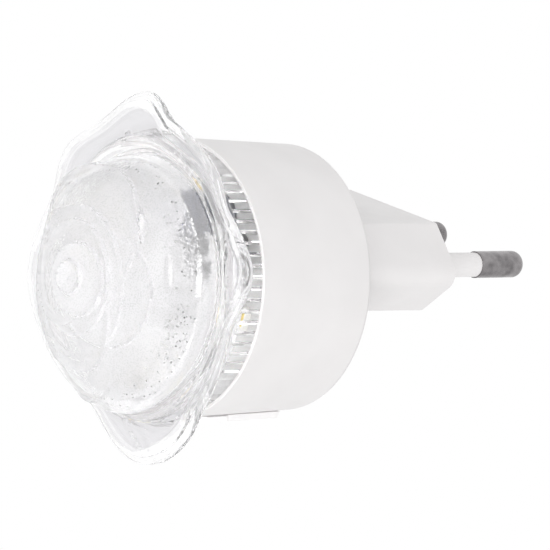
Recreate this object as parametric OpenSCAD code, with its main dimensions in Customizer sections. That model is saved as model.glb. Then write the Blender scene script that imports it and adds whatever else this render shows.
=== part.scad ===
// Plug-in night light: a clear moulded rose on a round white housing with a two-pin mains plug.
// Origin: centre of the plug's engagement face, midway between the pins.
// +Y runs along the pins into the wall, +Z is up, X is the line through both pins.

/* [Plug] */
// Length of each pin beyond the engagement face
pin_length = 19; // [14:0.5:24]
// Diameter of the bare metal end of a pin
pin_diameter = 4; // [3:0.1:5]
// Diameter of the insulating sleeve on a pin
sleeve_diameter = 3.66; // [3:0.02:4.8]
// Length of sleeve beyond the engagement face
sleeve_length = 10; // [7:0.5:12]
// Distance between the pins at the engagement face
pin_root_spacing = 18.6; // [15:0.1:19]
// Distance between the pins at their tips
pin_tip_spacing = 17.5; // [14:0.1:19]
// Width of the plug body across its two points, before they are rounded
plug_width = 34.6; // [32:0.1:36]
// Thickness of the plug body
plug_thickness = 13.4; // [12:0.1:16]
// Width of the plug body's flat top and bottom faces
plug_flat_width = 20.4; // [16:0.1:24]
// Length of the plug body from the engagement face to the housing
plug_length = 18.5; // [15:0.5:24]
// Radius of the plug body's two points
plug_point_radius = 2.5; // [1:0.1:3]
// Radius of the plug body's other four edges
plug_edge_radius = 1; // [0.3:0.1:2]
// Wall of the hollow plug body
plug_wall = 2.2; // [1.6:0.1:2.6]
// Wall that carries the pins
plug_end_wall = 4; // [3:0.1:6]

/* [Housing] */
// Length of the round housing
housing_length = 21; // [20:0.5:30]
// Diameter of the housing at the back
housing_back_diameter = 39.1; // [38:0.1:50]
// Diameter of the housing at its open front
housing_front_diameter = 40.6; // [39:0.1:52]
// Side wall of the housing
housing_wall = 1.6; // [1.2:0.1:2.2]
// Back wall of the housing
back_wall = 1.8; // [1.2:0.1:3]
// Height of the plug's centre over the housing's centre
plug_rise = 4.1; // [0:0.1:6]
// Thickness of the thin lip round the housing's front
rim_lip = 0.45; // [0.3:0.05:0.8]
// Depth of the seat inside that lip
rim_depth = 1.5; // [1:0.1:3]

/* [Rose lens] */
// Diameter of the domed rose
dome_diameter = 37.6; // [30:0.5:48]
// Height of the rose over its brim
dome_height = 13.6; // [8:0.1:20]
// How far the brim stands out past the housing's front, between its petals
brim_overhang = 0.9; // [0.5:0.1:4]
// Thickness of the brim
brim_thickness = 2.5; // [1.5:0.1:4]
// Wall of the clear dome
lens_wall = 3; // [2:0.1:4]
// Length of the ring on the back of the rose that centres it in the collar
spigot_length = 1.9; // [1:0.1:3]

/* [Collar] */
// Length of the clear collar seen between the housing and the brim
collar_exposed = 4; // [2:0.1:8]
// Number of flutes inside the collar
collar_flutes = 72; // [24:1:96]
// Width of a flute at the collar's bore
flute_width = 0.56; // [0.2:0.02:1]
// Depth of a flute
flute_depth = 0.5; // [0.2:0.1:1.2]

/* [Switch] */
// Length of the switch's guide bar
bar_length = 18.6; // [17:0.1:19]
// Width of the guide bar
bar_width = 10; // [9:0.1:11]
// Height of the guide bar's face below the housing's lowest line
bar_drop = 0.52; // [0.4:0.02:1]
// Slope of the bar's two ends
bar_bevel = 0.4; // [0:0.05:0.8]
// Distance from the engagement face to the middle of the bar
bar_depth = 28.9; // [28.5:0.1:29.5]
// Length of the sliding knob
knob_length = 5.4; // [4.6:0.1:5.6]
// Travel of the knob
switch_travel = 2.6; // [1.5:0.1:2.7]
// Length of the stop in front of the knob's track
bar_stop = 0.7; // [0.5:0.1:0.8]

/* [Boards and parts] */
// Thickness of the driver board
driver_board_thickness = 1.2; // [0.8:0.1:1.6]
// Distance from the back wall to the driver board
driver_board_standoff = 4.7; // [3:0.1:6]
// Diameter of the driver board
driver_board_diameter = 30; // [28:0.1:31]
// Thickness of the board that carries the light emitters
led_board_thickness = 1; // [0.8:0.1:1.6]
// Number of light emitters
led_count = 4; // [3:1:6]
// Radius of the circle that the light emitters stand on
led_circle_radius = 14.2; // [10:0.1:15]
// Diameter of the insulated wires
wire_diameter = 1.3; // [1:0.1:1.6]

/* [Clearances] */
// Gap round pieces that are pressed or seated together
seat_gap = 0.05; // [0.02:0.01:0.1]
// Gap round the sliding knob
slide_gap = 0.15; // [0.1:0.01:0.2]

/* [Hidden] */

$fn = 64;
cut = 1;                                   // How far a cutting tool runs past a face

// Depths are measured forward from the engagement face
back_inside = plug_length + back_wall;
housing_front = plug_length + housing_length;
rim_floor = housing_front - rim_depth;
led_board_back = rim_floor - led_board_thickness;
brim_back = housing_front + collar_exposed;
driver_back = back_inside + driver_board_standoff;
driver_front = driver_back + driver_board_thickness;

back_radius = housing_back_diameter/2;
front_radius = housing_front_diameter/2;
back_bore = back_radius - housing_wall;
front_bore = front_radius - housing_wall;
collar_radius = front_radius - rim_lip - seat_gap;
collar_bore = front_bore - 0.6;
spigot_radius = collar_bore - 0.2;
spigot_wall = 1.4;
neck_share = 0.955;                        // Radius of the dome's foot, as a share of its widest
hollow_radius = min(spigot_radius, neck_share*dome_diameter/2) - spigot_wall;
brim_radius = front_radius + brim_overhang;

pin_tilt = atan((pin_root_spacing - pin_tip_spacing)/2/pin_length);
pin_core = sleeve_diameter/2 - 0.4;        // Metal inside the sleeve
plug_slant = atan(plug_thickness/(plug_width - plug_flat_width));
plug_inside_tip = plug_width/2 - plug_wall/sin(plug_slant);
shoulder_radius = min(pin_diameter/2 + 0.8, (plug_inside_tip - pin_root_spacing/2)*sin(plug_slant) - 0.3);
shoulder_height = 1.2;
tail_radius = 1.2;
tail_end = plug_end_wall + 5;
clamp_back = plug_end_wall + shoulder_height + 0.2;
clamp_thickness = 1.8;
screw_radius = 0.75;
screw_head_radius = 1.9;
screw_head_height = 1.3;

white = "whitesmoke";
clear = [0.9, 0.93, 0.96, 0.55];

// ---------------------------------------------------------------- shared frames and shapes

// Child's +Z points to the front of the light, from the engagement face, on the housing's axis
module facing_front() translate([0, 0, -plug_rise]) rotate([90, 0, 0]) children();

// The same, on the plug's own centre
module on_plug() translate([0, plug_rise, 0]) children();

// Child's -Z points out along a pin, which leans in towards its tip
module on_pin(side) on_plug() translate([side*pin_root_spacing/2, 0, 0])
  rotate([0, side*pin_tilt, 0]) children();

// Convex outline with a true arc at each corner
module rounded(points, radii) {
  last = len(points) - 1;
  corners = [for (i = [0:last])
    let (p = points[i], q = points[(i + last)%(last + 1)], s = points[(i + 1)%(last + 1)],
         u = (q - p)/norm(q - p), v = (s - p)/norm(s - p), half = acos(u*v)/2)
    [p, u, v, half, (u + v)/norm(u + v), radii[i]]];
  polygon([for (c = corners) each
    (c[5] > 0 ? [c[0] + c[1]*c[5]/tan(c[3]), c[0] + c[2]*c[5]/tan(c[3])] : [c[0]])]);
  for (c = corners) if (c[5] > 0)
    translate(c[0] + c[4]*c[5]/sin(c[3])) circle(r = c[5]);
}

module tube(outer, inner, length) difference() {
  cylinder(r = outer, h = length);
  translate([0, 0, -cut]) cylinder(r = inner, h = length + 2*cut);
}

module block(size) translate([-size.x/2, -size.y/2, 0]) cube(size);

// Self-tapping screw with a rounded head, its seat at z = 0 and its shank below
module screw(shank) {
  rotate_extrude() rounded(
    [[0, 0], [screw_head_radius, 0], [screw_head_radius, screw_head_height], [0, screw_head_height]],
    [0, 0.2, 0.6, 0]);
  translate([0, 0, -shank]) cylinder(r = screw_radius, h = shank + 0.1);
}

// ---------------------------------------------------------------- plug body and housing

// Six-sided outline of the plug body, taken in by an inset
function plug_outline(inset) = let (
    tip = plug_width/2, flat = plug_flat_width/2, half = plug_thickness/2,
    slant = norm([tip - flat, half]), tip_in = tip - inset*slant/half,
    flat_in = tip_in - (tip - flat)/half*(half - inset))
  [[tip_in, 0], [flat_in, half - inset], [-flat_in, half - inset],
   [-tip_in, 0], [-flat_in, inset - half], [flat_in, inset - half]];

// What is left of a corner's radius after the inset, or a sharp corner where that is little
function inner_radius(radius, inset) = radius - inset > 0.5 ? radius - inset : 0;

module plug_section(inset) {
  point = inner_radius(plug_point_radius, inset);
  edge = inner_radius(plug_edge_radius, inset);
  rounded(plug_outline(inset), [point, edge, edge, point, edge, edge]);
}

post_circle = driver_board_diameter/2 - 2.4;
post_radius = 2.2;
post_angles = [90, 214, 326];
rib_angles = [35, 145, 215, 325];
rib_inner = driver_board_diameter/2 + 0.4;
rib_thickness = 1.2;
clamp_boss_radius = 3;

module at_posts() for (a = post_angles) rotate(a) translate([post_circle, 0, 0]) children();

module housing_outside() {
  rotate_extrude($fn = 128) rounded(
    [[0, plug_length], [back_radius, plug_length], [front_radius, housing_front], [0, housing_front]],
    [0, 0.8, 0.15, 0]);
  on_plug() linear_extrude(plug_length + back_wall/2) plug_section(0);
}

module housing_inside() {
  rotate_extrude($fn = 128) polygon(
    [[0, back_inside], [back_bore, back_inside], [front_bore, housing_front + cut],
     [0, housing_front + cut]]);
  translate([0, 0, rim_floor]) cylinder(r = collar_radius + seat_gap, h = rim_depth + cut, $fn = 128);
  on_plug() translate([0, 0, plug_end_wall])
    linear_extrude(plug_length - plug_end_wall + back_wall + cut) plug_section(plug_wall);
  for (side = [-1, 1]) on_pin(side) translate([0, 0, -cut])
    cylinder(r = sleeve_diameter/2 + 0.08, h = plug_end_wall + 2*cut);
}

module housing_ribs() intersection() {
  for (a = rib_angles) rotate(a) translate([rib_inner, -rib_thickness/2, back_inside - 0.3])
    cube([front_radius - rib_inner - housing_wall/2, rib_thickness, led_board_back - back_inside + 0.3]);
  rotate_extrude($fn = 128) polygon(
    [[0, plug_length], [back_radius - housing_wall/2, plug_length],
     [front_radius - housing_wall/2, housing_front], [0, housing_front]]);
}

module housing() color(white) difference() {
  facing_front() difference() {
    union() {
      difference() {
        housing_outside();
        housing_inside();
      }
      housing_ribs();
      at_posts() translate([0, 0, back_inside - 0.3])
        cylinder(r = post_radius, h = driver_board_standoff + 0.3 - seat_gap);
      on_plug() translate([0, 0, plug_end_wall - 0.3])
        cylinder(r = clamp_boss_radius, h = clamp_back - plug_end_wall + 0.3 - seat_gap);
    }
    at_posts() translate([0, 0, back_inside + 0.5])
      cylinder(r = screw_radius + seat_gap, h = driver_board_standoff + cut);
    on_plug() translate([0, 0, plug_end_wall - 2])
      cylinder(r = screw_radius + seat_gap, h = clamp_back);
  }
  in_switch() switch_opening();
}

// ---------------------------------------------------------------- pins

module pin(side) color("silver") facing_front() on_pin(side) {
  bare = pin_length - sleeve_length - 0.02;
  translate([0, 0, -pin_length]) rotate_extrude() intersection() {
    rounded([[0, 0], [pin_diameter/2, 0], [pin_diameter/2, bare], [0, bare]], [0, 1.4, 0, 0]);
    square([pin_diameter, bare]);
  }
  translate([0, 0, -sleeve_length - 0.5])
    cylinder(r = pin_core, h = sleeve_length + plug_end_wall + 1);
  translate([0, 0, plug_end_wall + 0.12]) cylinder(r = shoulder_radius, h = shoulder_height - 0.08);
  translate([0, 0, plug_end_wall]) cylinder(r = tail_radius, h = tail_end - plug_end_wall);
}

module pin_left() pin(-1);
module pin_right() pin(1);

module sleeve(side) color("white") facing_front() on_pin(side)
  translate([0, 0, -sleeve_length]) tube(sleeve_diameter/2, pin_core + 0.02, sleeve_length + plug_end_wall);

module sleeve_left() sleeve(-1);
module sleeve_right() sleeve(1);

module pin_clamp() color("ivory") facing_front() on_plug() translate([0, 0, clamp_back]) difference() {
  linear_extrude(clamp_thickness) plug_section(plug_wall + 0.25);
  for (side = [-1, 1])
    translate([side*(pin_root_spacing/2 + tan(pin_tilt)*clamp_back), 0, -cut])
      cylinder(r = tail_radius + 0.25, h = clamp_thickness + 2*cut);
  translate([0, 0, -cut]) cylinder(r = screw_radius + 0.25, h = clamp_thickness + 2*cut);
}

module clamp_screw() color("gray") facing_front() on_plug()
  translate([0, 0, clamp_back + clamp_thickness]) screw(clamp_thickness + 2.8);

// ---------------------------------------------------------------- slide switch

taper = atan((front_radius - back_radius)/housing_length);
switch_radius = back_radius + (bar_depth - plug_length)*tan(taper);
seat_depth = 0.45;                         // Flat seat cut in the round housing
track_width = bar_width - 1.6;             // Low track that the knob straddles
body_width = 6.8;
body_height = 5.4;                         // How far the body stands up inside the housing
body_wall = 0.8;
cap_thickness = 1.1;
terminal_width = 1.6;
terminal_thickness = 0.6;
terminal_pitch = switch_travel + 1;
tail_height = body_height + 2;
pad_length = 2.8;
pad_low = body_height - cap_thickness - 0.35;

knob_front = bar_length/2 - bar_stop - slide_gap - switch_travel;
knob_back = knob_front - knob_length;      // Rest place of the knob: its back end meets the bar's block
knob_half = bar_width/2 + 0.05;
knob_face = -slide_gap;                    // Inside face of the knob, over the track
knob_skirt = 0.3;                          // Top of the knob's two skirts
knob_crown = 0.4;                          // How far the knob's face is crowned
knob_corner = min(2.6, knob_length/2 - 0.05);
stem_width = 2.4;
stem_length = 2.2;
stem_middle = knob_back + 1.5;
carrier_width = 4.6;
carrier_low = 1.15;
carrier_high = 2.95;
carrier_back = stem_middle - 3.85;
carrier_front = stem_middle + 1.4;
terminal_middle = stem_middle - 0.75;
body_back = stem_middle - 7.35;
body_front = carrier_front + switch_travel + 1.05;

// Child's +Y points in through the housing's lowest line, +Z runs forward along the taper
module in_switch() facing_front() translate([0, -switch_radius, bar_depth]) rotate([taper, 0, 0])
  children();

function from_switch(p) = [
  p.x,
  -switch_radius + p.y*cos(taper) - p.z*sin(taper),
  bar_depth + p.y*sin(taper) + p.z*cos(taper)];

// Block between two heights and two stations, centred across
module across(width, low, high, back, front)
  translate([-width/2, low, back]) cube([width, high - low, front - back]);

module switch_opening() {
  across(bar_width + 0.3, -3, seat_depth, -bar_length/2 - 0.15, bar_length/2 + 0.15);
  across(body_width + 0.4, 0, housing_wall + 1.5, body_back - 0.2, body_front + 0.2);
}

// Side outline of the bar and the snap tabs, drawn as [station, height]
module side_outline(width) rotate([0, -90, 0]) translate([0, 0, -width/2]) linear_extrude(width)
  children();

module guide_bar() difference() {
  side_outline(bar_width) polygon([
    [-bar_length/2, seat_depth - 0.02], [bar_length/2, seat_depth - 0.02],
    [bar_length/2 - bar_bevel, -bar_drop], [-bar_length/2 + bar_bevel, -bar_drop]]);
  across(bar_width + 2, -3, 0, knob_back - 0.02, bar_length/2 - bar_stop);
  for (side = [-1, 1]) translate([side*(track_width + 4)/2, 0, 0])
    across(4, -3, 3, knob_back - 0.02, bar_length/2 - bar_stop);
}

module switch_body() color("gainsboro") in_switch() difference() {
  union() {
    guide_bar();
    across(body_width, 0.1, body_height, body_back, body_front);
    side_outline(2.4) {
      polygon([[body_back + 0.1, housing_wall + 0.7], [body_back - 0.5, housing_wall + 0.7],
               [body_back + 0.1, housing_wall + 2]]);
      polygon([[body_front - 0.1, housing_wall + 0.7], [body_front + 0.5, housing_wall + 0.7],
               [body_front - 0.1, housing_wall + 2]]);
    }
  }
  across(body_width - 2*body_wall, 1, body_height + cut, body_back + body_wall, body_front - body_wall);
  across(stem_width + 2*slide_gap, -3, 2, stem_middle - stem_length/2 - slide_gap,
         stem_middle + stem_length/2 + slide_gap + switch_travel);
}

module at_terminals() for (i = [-1:1]) translate([0, 0, terminal_middle + i*terminal_pitch]) children();

module switch_cap() color("saddlebrown") in_switch() difference() {
  across(body_width - 2*body_wall - 2*seat_gap, body_height - cap_thickness, body_height,
         body_back + body_wall + seat_gap, body_front - body_wall - seat_gap);
  at_terminals() across(terminal_width + 2*seat_gap, 0, body_height + 1,
                        -terminal_thickness/2 - seat_gap, terminal_thickness/2 + seat_gap);
}

module switch_terminals() color("goldenrod") in_switch() at_terminals() {
  across(terminal_width, pad_low, tail_height, -terminal_thickness/2, terminal_thickness/2);
  across(2.4, pad_low, pad_low + 0.3, -pad_length/2, pad_length/2);
}

module switch_knob() color("snow") in_switch() {
  difference() {
    // A low crowned cap whose front is rounded in plan
    intersection() {
      rotate([90, 0, 0]) translate([0, 0, -knob_skirt]) linear_extrude(2.2)
        rounded([[-knob_half, knob_back], [knob_half, knob_back],
                 [knob_half, knob_front], [-knob_half, knob_front]],
                [0.3, 0.3, knob_corner, knob_corner]);
      translate([0, crown_radius - bar_drop - knob_crown, knob_back - cut])
        cylinder(r = crown_radius, h = knob_length + 2*cut, $fn = 256);
    }
    across(track_width + 2*slide_gap, knob_face, 3, knob_back - cut, knob_front + cut);
  }
  across(stem_width, knob_face - 0.2, carrier_low + 1.2,
         stem_middle - stem_length/2, stem_middle + stem_length/2);
}
crown_radius = (knob_half*knob_half + knob_crown*knob_crown)/2/knob_crown;

module switch_carrier() color("dimgray") in_switch() difference() {
  across(carrier_width, carrier_low, carrier_high, carrier_back, carrier_front);
  across(stem_width + 2*seat_gap, 0, carrier_low + 1.2 + seat_gap,
         stem_middle - stem_length/2 - seat_gap, stem_middle + stem_length/2 + seat_gap);
}

// Spring strip under the carrier, its two feet on neighbouring pads
module switch_contact() color("gold") in_switch() {
  strip_low = carrier_high + 0.02;
  across(1.8, strip_low, strip_low + 0.3, carrier_back + 0.2, carrier_front - 1.65);
  for (z = [carrier_back + 0.2, carrier_front - 2.25])
    across(1.8, strip_low, pad_low - 0.1, z, z + 0.6);
}

// ---------------------------------------------------------------- boards and their parts

board_chord = 9.6;                         // From its middle to the flat edge over the switch
module driver_board() color("darkgreen") facing_front() translate([0, 0, driver_back]) difference() {
  cylinder(d = driver_board_diameter, h = driver_board_thickness, $fn = 128);
  translate([-driver_board_diameter/2, -driver_board_diameter/2 - board_chord, -cut])
    cube([driver_board_diameter, driver_board_diameter/2, driver_board_thickness + 2*cut]);
  at_posts() translate([0, 0, -cut]) cylinder(r = screw_radius + 0.3, h = driver_board_thickness + 2*cut);
}

module board_screws() color("gray") facing_front() at_posts()
  translate([0, 0, driver_front + seat_gap]) screw(driver_board_thickness + 3);

// Child stands on the front of the driver board
module on_driver(x, y) facing_front() translate([x, y, driver_front + 0.1]) children();

// Child stands on the front of the light emitters' board
module on_led_board(direction, radius) facing_front()
  rotate(direction) translate([radius, 0, rim_floor + seat_gap]) children();

part_gap = 0.4;                            // Least gap between two parts on the board
film_size = [13, 5.4, 9.2];
film_y = post_circle - screw_head_radius - part_gap - film_size.y/2;
film_lead = 4.2;                           // From its middle to each lead
module film_capacitor() color("firebrick") on_driver(0, film_y)
  difference() {
    block(film_size);
    for (x = [-1, 1]) translate([x*film_lead, 0, -cut]) cylinder(r = 1, h = cut + 0.4);
  }

// Can with the rolled groove over its base
can_radius = 3.15;
can_height = 9.2;
groove_low = 1.4;
groove_high = 1.8;
groove_depth = 0.25;
can_direction = 59;
can_inset = 1.15;                          // From the rose's hollow in to the can
can_place = hollow_radius - can_inset - can_radius;
module electrolytic_capacitor() color("midnightblue") on_led_board(can_direction, can_place)
  rotate_extrude() {
    rounded([[0, 0], [can_radius, 0], [can_radius, groove_low], [0, groove_low]], [0, 0.4, 0.3, 0]);
    translate([0, groove_low - 0.1]) square([can_radius - groove_depth, groove_high - groove_low + 0.2]);
    translate([0, groove_high]) rounded(
      [[0, 0], [can_radius, 0], [can_radius, can_height - groove_high], [0, can_height - groove_high]],
      [0, 0.3, 0.5, 0]);
  }

// Bridge made of four diodes that stand on end
diode_radius = 1.3;
diode_height = 5.2;
diode_apart = 3.1;
diode_inset = 1.2;                         // From the rose's hollow in to the outer diodes
diodes_place = hollow_radius - diode_inset - diode_radius - diode_apart/2;
can_to_diodes = 6.4;                       // Between the can's middle and theirs
diodes_direction = can_direction - 2*asin(can_to_diodes/2/can_place);
module bridge_rectifier() color("black") on_led_board(diodes_direction, diodes_place)
  for (x = [-1, 1], y = [-1, 1]) translate([x*diode_apart/2, y*diode_apart/2, 0]) rotate_extrude() {
    rounded([[0, 0], [diode_radius, 0], [diode_radius, diode_height], [0, diode_height]], [0, 0.3, 0.3, 0]);
    translate([0, diode_height - 0.1]) square([0.4, 0.7]);
  }

// Axial resistor along X, its body raised off the board
module resistor(radius, length) {
  translate([-length/2, 0, radius + 0.2]) rotate([0, 90, 0]) rotate_extrude() {
    rounded([[0, 0], [radius, 0], [radius, length*0.28], [0, length*0.28]], [0, 0.4, 0.3, 0]);
    square([radius*0.86, length]);
    translate([0, length*0.72])
      rounded([[0, 0], [radius, 0], [radius, length*0.28], [0, length*0.28]], [0, 0.3, 0.4, 0]);
  }
  for (end = [-1, 1]) {
    translate([end*(length/2 + 0.9), 0, 0]) cylinder(r = 0.3, h = radius + 0.2);
    translate([end*(length/2 + 0.9), 0, radius + 0.2]) sphere(r = 0.3, $fn = 24);
    translate([min(end*length/2, end*(length/2 + 0.9)) - 0.1*(end > 0 ? 1 : 0), 0, radius + 0.2])
      rotate([0, 90, 0]) cylinder(r = 0.3, h = 1);
  }
}

bleed_radius = 1.15;
lead_room = 1.95;                          // Between the two, for their leads
bleed_y = film_y - film_size.y/2 - lead_room - bleed_radius;
module bleed_resistor() color("tan") on_driver(0, bleed_y) resistor(bleed_radius, 6);
module fuse_resistor() color("seagreen") on_driver(0, -4.2) resistor(1.7, 8.4);

// Bore of the housing at a depth
function bore_at(depth) =
  back_bore + (front_bore - back_bore)*(depth - back_inside)/(housing_front - back_inside);

module led_board() color("ghostwhite") facing_front() translate([0, 0, led_board_back]) difference() {
  cylinder(r = bore_at(led_board_back) - 0.15, h = led_board_thickness - seat_gap, $fn = 128);
  for (x = [-1, 1]) translate([led_wire_x*x, led_wire_y, -cut])
    cylinder(r = wire_diameter/2 + 0.1, h = led_board_thickness + 2*cut);
}

led_size = [3.5, 2.8, 0.8];
led_window = [2.4, 1.8];
led_turn = -8;
module at_leds() facing_front() for (i = [0:led_count - 1])
  rotate(led_turn + i*360/led_count) translate([led_circle_radius, 0, rim_floor]) children();

module led_packages() color("floralwhite") at_leds() difference() {
  block([led_size.y, led_size.x, led_size.z]);
  translate([0, 0, 0.4]) block([led_window.y, led_window.x, 1]);
}

module led_phosphors() color("khaki") at_leds() translate([0, 0, 0.42])
  block([led_window.y - 0.04, led_window.x - 0.04, 0.36]);

// ---------------------------------------------------------------- fluted collar

flute_turn = asin(flute_width/2/collar_bore);
module fluted_collar() color(clear) facing_front() translate([0, 0, rim_floor + 0.03])
  linear_extrude(brim_back - rim_floor - 0.08) difference() {
    circle(r = collar_radius, $fn = 128);
    polygon([for (i = [0:collar_flutes - 1], edge = [-1:1]) let (
        a = i*360/collar_flutes + edge*flute_turn, r = collar_bore + (edge == 0 ? flute_depth : 0))
      [r*cos(a), r*sin(a)]]);
  }

// ---------------------------------------------------------------- rose lens

rose_sectors = 96;
dome_steps = 5;                            // Rings between two points of the dome's line
brim_steps = 9;                            // Rings across the brim's front
bead_width = 2;                            // Thicker edge round the brim
edge_thickness = 1.5;                      // Of that edge, which is rounded
ring_start = 0.25;                         // From the dome's neck to the raised ring round it
ring_inset = 0.2;                          // From the brim's radius in to that ring's outside
bevel_foot = 0.4;                          // Bevel under the brim, from the collar's radius
bevel_reach = 1.6;
whorl_sharpness = 11;                      // How crisply one petal cuts into the next
tip_lift = 0.22;                           // How much a petal tips up at its high end
cup_depth = 0.9;                           // Hollow behind a petal's lip
cup_reach = 1.6;                           // Distance over which it hollows
lip_drop = 1.3;                            // Drop outside the lip, for a petal with a drop of 1
lip_inside = -0.3;                         // Where that drop starts and ends, from the petal's reach
lip_outside = 0.45;
fall_beyond = 0.45;                        // Slope of a petal beyond its lip
neck_fade = 4.5;                           // Stretch over the neck in which the petals fade out
ring_height = 0.5;
bead_height = 0.35;
panel_depth = 0.25;
hollow_share = 0.84;                       // Height of the hollow with no wall, as a share of the dome's

// The dome's own line from its top out to its neck, as shares of its radius and height
dome_shares = [
  [0, 1], [0.17, 0.985], [0.33, 0.915], [0.5, 0.8], [0.67, 0.655], [0.83, 0.49],
  [0.96, 0.32], [1, 0.16], [neck_share, 0]];

// Swell of the dome's lower part, as [direction, share of its radius]
dome_swell = [
  [20, 1], [60, 0.98], [85, 0.93], [115, 0.93], [146, 1.06], [172, 1],
  [210, 1.02], [245, 1.055], [280, 1.055], [312, 1.01]];

// Whorl of petals on the dome laid out flat, inner ones first:
// [centre x, centre y, reach, rise, drop at the lip, direction in which the petal tips up]
dome_petals = [
  [0.2, 0.1, 3, 0.5, 0.5, 200], [0, 0, 5.2, 0, 0.8, 60], [0.4, 0.2, 7, -0.05, 0.7, 250],
  [0.4, 0.6, 9.3, 0.1, 0.9, 60], [-3.4, 0.6, 8.6, 0.1, 1, 230], [-1.5, -0.8, 12.6, 0.1, 1, 110],
  [4.6, -0.1, 9.4, 0.25, 1.1, 350], [-2.8, -3.2, 12.3, 0.1, 1, 250], [-4, 5, 14.3, 0.2, 1, 60],
  [8, -4, 17.5, 0.1, 1, 330], [-6, -6, 15.5, 0.1, 1, 220]];

// Brim's petals, from valley to tip and on, as [direction, reach past the brim's radius]
brim_petals = [
  [-105, 1.1], [-82, 5.2], [-66, 5.6], [-52, 4.1], [-40, 1.9], [-6, 0], [16, 3.1], [30, 1.6], [42, 0.5],
  [56, 1.3], [87, 2.3], [101, 5.6], [127, 3.6], [148, 4.9], [165, 3.2], [194, 5.8], [216, 3.9], [243, 1.4]];

function spline(p, q, s, t, x) =
  (2*q + (s - p)*x + (2*p - 5*q + 4*s - t)*x*x + (3*q - p - 3*s + t)*x*x*x)/2;

// 0 below low, 1 above high and smooth between
function eased(x, low, high) = let (t = min(max((x - low)/(high - low), 0), 1)) t*t*(3 - 2*t);

// Row of a closed table, counted on past its ends by whole turns
function row_at(table, i) = let (n = len(table), turns = floor(i/n))
  [table[i - turns*n][0] + 360*turns, table[i - turns*n][1]];

// Smooth closed curve through a table of [direction, value]
function around(table, a) = let (
    first = table[0][0], turned = a - first - 360*floor((a - first)/360) + first,
    k = max([for (i = [0:len(table) - 1]) if (table[i][0] <= turned) i]),
    p = row_at(table, k - 1), q = row_at(table, k), s = row_at(table, k + 1), t = row_at(table, k + 2),
    step = s[0] - q[0], x = (turned - q[0])/step,
    leave = (s[1] - p[1])/(s[0] - p[0])*step, arrive = (t[1] - q[1])/(t[0] - q[0])*step)
  (2*x*x*x - 3*x*x + 1)*q[1] + (x*x*x - 2*x*x + x)*leave
  + (3*x*x - 2*x*x*x)*s[1] + (x*x*x - x*x)*arrive;

dome_knots = [for (share = dome_shares) [share.x*dome_diameter/2, brim_thickness + share.y*dome_height]];
dome_last = len(dome_knots) - 1;
dome_line = [for (i = [0:dome_last - 1], j = [i == 0 ? 0 : 1:dome_steps])
  spline(i == 0 ? [-dome_knots[1].x, dome_knots[1].y] : dome_knots[i - 1], dome_knots[i], dome_knots[i + 1],
         i + 2 > dome_last ? 2*dome_knots[dome_last] - dome_knots[dome_last - 1] : dome_knots[i + 2],
         j/dome_steps)];

// Distance along the dome's line to each of its points
function lengths(line, i = 1, done = [0]) = i == len(line) ? done
  : lengths(line, i + 1, concat(done, done[i - 1] + norm(line[i] - line[i - 1])));
dome_along = lengths(dome_line);
dome_end = dome_along[len(dome_along) - 1];

// Height of one petal at a point of the flat layout: a shallow cup that drops past its lip
function cup(petal, point) = let (
    off = point - [petal[0], petal[1]], out = norm(off) - petal[2],
    turn = cos(atan2(off.y, off.x) - petal[5]))
  petal[3] + tip_lift*turn - cup_depth*(1 - exp(min(out - lip_inside, 0)/cup_reach))
  - lip_drop*petal[4]*eased(out, lip_inside, lip_outside) - fall_beyond*max(out - lip_outside, 0);

// Outer skin of all the petals together, with their meeting lines a little rounded
function whorl(point) = ln(sum([for (petal = dome_petals) exp(whorl_sharpness*cup(petal, point))]))
  /whorl_sharpness;
function sum(v, i = 0) = i == len(v) ? 0 : v[i] + sum(v, i + 1);

// Front of the rose in one direction, from beside its middle to the neck
function dome_profile(a) = let (swell = around(dome_swell, a) - 1, last = len(dome_line) - 1)
  [for (i = [1:last]) let (
      p = dome_line[i], q = dome_along[i], ahead = dome_line[min(last, i + 1)] - dome_line[i - 1],
      t = ahead/norm(ahead), d = whorl(q*[cos(a), sin(a)])*(1 - eased(q, dome_end - neck_fade, dome_end - 1)),
      wide = 1 + swell*eased(p.x/dome_diameter*2, 0.5, 0.9)*(1 - eased(q, dome_end - neck_fade/2, dome_end)))
    [p.x*wide - t.y*d, p.y + t.x*d]];

// Brim in one direction: over the raised ring, the panel and the bead, round the edge and back
function brim_profile(a) = let (
    edge = brim_radius + around(brim_petals, a), half = edge_thickness/2,
    lift = brim_thickness - edge_thickness, start = dome_knots[dome_last].x + ring_start,
    ring = brim_radius - ring_inset, inside = edge - bead_width, stop = edge - half)
  concat(
    [for (i = [1:brim_steps]) let (
        r = start + (stop - start)*i/brim_steps,
        raised = ring_height*eased(r, start + 0.1, start + 0.9)*(1 - eased(r, ring - 1, ring)),
        bead = bead_height*eased(r, inside - 0.2, inside + 0.5)*(1 - eased(r, edge - 1.4, stop)),
        panel = panel_depth*eased(r, ring - 0.4, ring + 0.3)*(1 - eased(r, inside - 0.6, inside)))
      [r, brim_thickness + max(raised, bead) - panel]],
    [for (t = [60:-30:-60]) [stop + half*cos(t), lift + half + half*sin(t)]],
    [[stop, lift], [min(collar_radius + bevel_reach, stop - 0.1), lift], [collar_radius + bevel_foot, 0],
     [spigot_radius, 0]]);

// Back of the lens: the spigot and the hollow under the dome
hollow_height = brim_thickness + dome_height*hollow_share - lens_wall;
hollow_low = brim_thickness*0.6;
function back_profile() = concat(
  [[spigot_radius, -spigot_length], [spigot_radius - spigot_wall, -spigot_length]],
  [for (t = [0:18:72]) [hollow_radius*cos(t), hollow_low + (hollow_height - hollow_low)*sin(t)]]);

function rose_profile(a) = concat(dome_profile(a), brim_profile(a), back_profile());

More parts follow.
